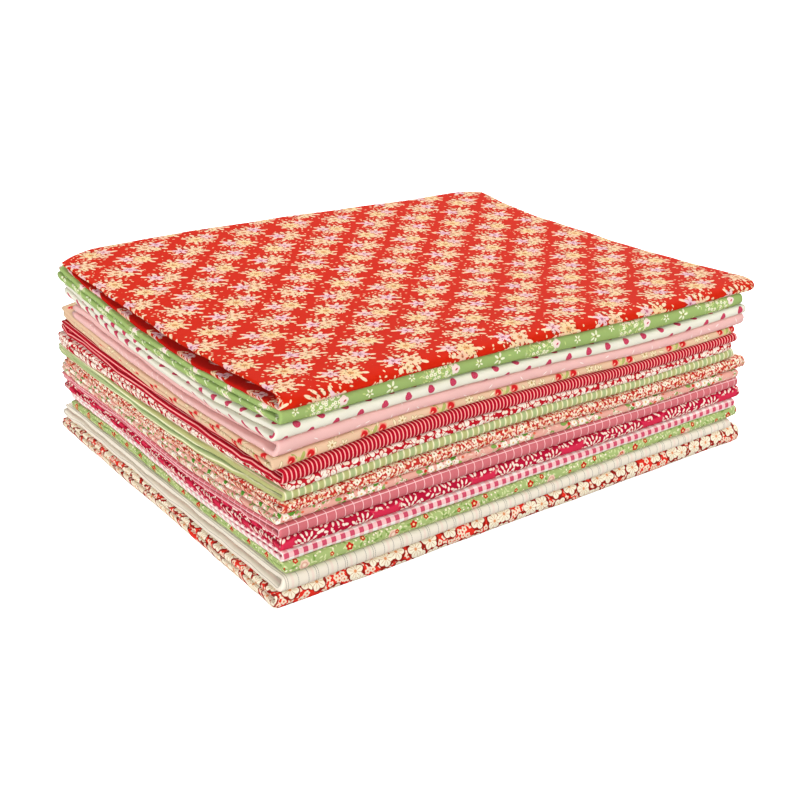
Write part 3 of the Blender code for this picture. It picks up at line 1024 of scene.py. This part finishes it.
def red_posy_print(place):
    """The posies on diamonds that are a little skewed and bowed, as the cloth lies, and petals.

    The posy changes with one count of its diamond and its side with the other. Each has a deeper
    red shade round it and dark specks among its petals. Under the broad fold they lie a little to
    the side, with one row along the lower left fold. That band is plain, and between the posies it
    carries painted shade, a deeper red.
    """
    x, y = coordinates(place)
    under = inside(y, UNDERSIDE_FROM, 6.0)
    # The plain band along the lower left fold: no strewn petals, and painted shade in a deeper red.
    plain_and_painted_shade = under * inside(x, PLAIN_SHADED_WIDTH, 3.0)
    x = x + under * UNDERSIDE_SHIFT
    bow = reckon("EXPONENT", (x / POSY_BOW_LENGTH) * (x / -POSY_BOW_LENGTH)) * POSY_BOW
    middle = (POSY_CENTRE[0], POSY_CENTRE[1] + POSY_PIVOT * POSY_SKEW)
    place = seen_from(joined(x, y + x * POSY_SKEW - bow), middle)
    x, y = coordinates(place)
    off_diagonal = reckon("PINGPONG", x / POSY_ACROSS - y / POSY_ALONG, 0.5)
    petal, chance = strewn(place, 2.3, 0.9, 19.0)
    scarce = chance + off_diagonal * 1.7 + plain_and_painted_shade
    strewing = oval(petal, MIDDLE, (0.78, 0.42)) * inside(scarce, 0.96, 0.02)
    seen, up, down = half_drop(place, POSY_ACROSS, POSY_ALONG)
    shade = inside(distance(seen), 8.0, 4.0) * 0.4
    ground = dyed(dyed(POSY_RED, shade, (170, 24, 18)), strewing, (236, 204, 162))
    across, along = coordinates(seen)
    seen = joined(across * (1.0 - even(down) * 2.0), along)
    gold = posy(seen, ground, GOLD_POSY_HEADS, GOLD_POSY_LEAVES)
    pink = posy(seen, ground, PINK_POSY_HEADS, PINK_POSY_LEAVES)
    colour = dyed(gold, even(up), pink)
    between_posies = inside(7.0 - distance(seen), 0.0, 1.0)
    # Painted shade: a deeper red in the plain band, between the posies.
    colour = dyed(colour, plain_and_painted_shade * between_posies, (192, 28, 18))
    speck, chance = strewn(place, 1.6, 0.8, 71.0)
    dark = inside(distance(speck), 0.32) * inside(distance(seen), 7.5) * some(chance, 0.5)
    return dyed(colour, dark, (136, 80, 50))


RED_POSY = Cut(16, (94.0, 94.6, 93.2, 90.4, 88.8), (90.2, 90.0, 92.0), (6.3, 4.6),
               (-0.6, 1.4), (-2.2, 2.0), (-1.0, 3.5), (-2.5, 2.0), eye=0.38, corner=10.0, roll=3.8,
               split=0.27, pinch=0.65, waist=5.8)
red_posy = folded_sheet("red_posy_fabric", RED_POSY, GREEN_SPRIG,
                        cotton(red_posy_print),
                        front_columns=110, front_rows=17, run_rows=66)
settle(red_posy, "red_posy_cloth")

# Floor: a plain white sheet lit from below, as on a photographer's light table, so that no shadow
# falls on it. Its own light is kept off the cloth, which gets the softer light that comes back
# from a grey sheet under it.
FLOOR_SIDE = 12.0
FLOOR_SHEETS = (
    # name, height, grey, its own light, whether the camera sees it, whether the cloth does
    ("white_floor", 0.0, 0.8, 1.0, True, False),
    ("grey_floor", -0.0005, 0.3, 0.0, False, True),
)
for name, height, grey, glow, in_view, lights_cloth in FLOOR_SHEETS:
    bpy.ops.mesh.primitive_plane_add(size=FLOOR_SIDE, location=(0.0, 0.0, height))
    floor = bpy.context.object
    floor.name = name
    floor.visible_camera = in_view
    floor.visible_diffuse = lights_cloth
    floor.visible_glossy = lights_cloth
    floor.visible_shadow = lights_cloth
    paper = bpy.data.materials.new(name)
    paper.use_nodes = True
    paper_shader = paper.node_tree.nodes["Principled BSDF"]
    paper_shader.inputs["Base Color"].default_value = (grey, grey, grey, 1.0)
    paper_shader.inputs["Roughness"].default_value = 0.9
    paper_shader.inputs["Specular IOR Level"].default_value = 0.1
    paper_shader.inputs["Emission Color"].default_value = (1.0, 1.0, 1.0, 1.0)
    paper_shader.inputs["Emission Strength"].default_value = glow
    floor.data.materials.append(paper)

# Light: an even white studio, a high light from the right and the back, and two low, softer ones
# from the left and the front, which keep the folds bright and leave the gaps between them dark.
world = bpy.data.worlds.new("studio")
bpy.context.scene.world = world
world.use_nodes = True
world.node_tree.nodes["Background"].inputs["Color"].default_value = (1.0, 1.0, 1.0, 1.0)
world.node_tree.nodes["Background"].inputs["Strength"].default_value = 0.45
STUDIO_LIGHTS = (
    # name, strength, width of its softness, and how far it is tipped and turned, in degrees
    ("high_light", 3.2, 16.0, (60.0, 0.0, 116.0)),
    ("left_light", 3.1, 40.0, (80.0, 0.0, -62.0)),
    ("front_light", 1.2, 40.0, (78.0, 0.0, -8.0)),
)
for name, strength, softness, turn in STUDIO_LIGHTS:
    light = bpy.data.objects.new(name, bpy.data.lights.new(name, "SUN"))
    light.data.energy = strength
    light.data.angle = radians(softness)
    light.rotation_euler = [radians(angle) for angle in turn]
    bpy.context.scene.collection.objects.link(light)
bpy.context.scene.view_settings.view_transform = "Standard"
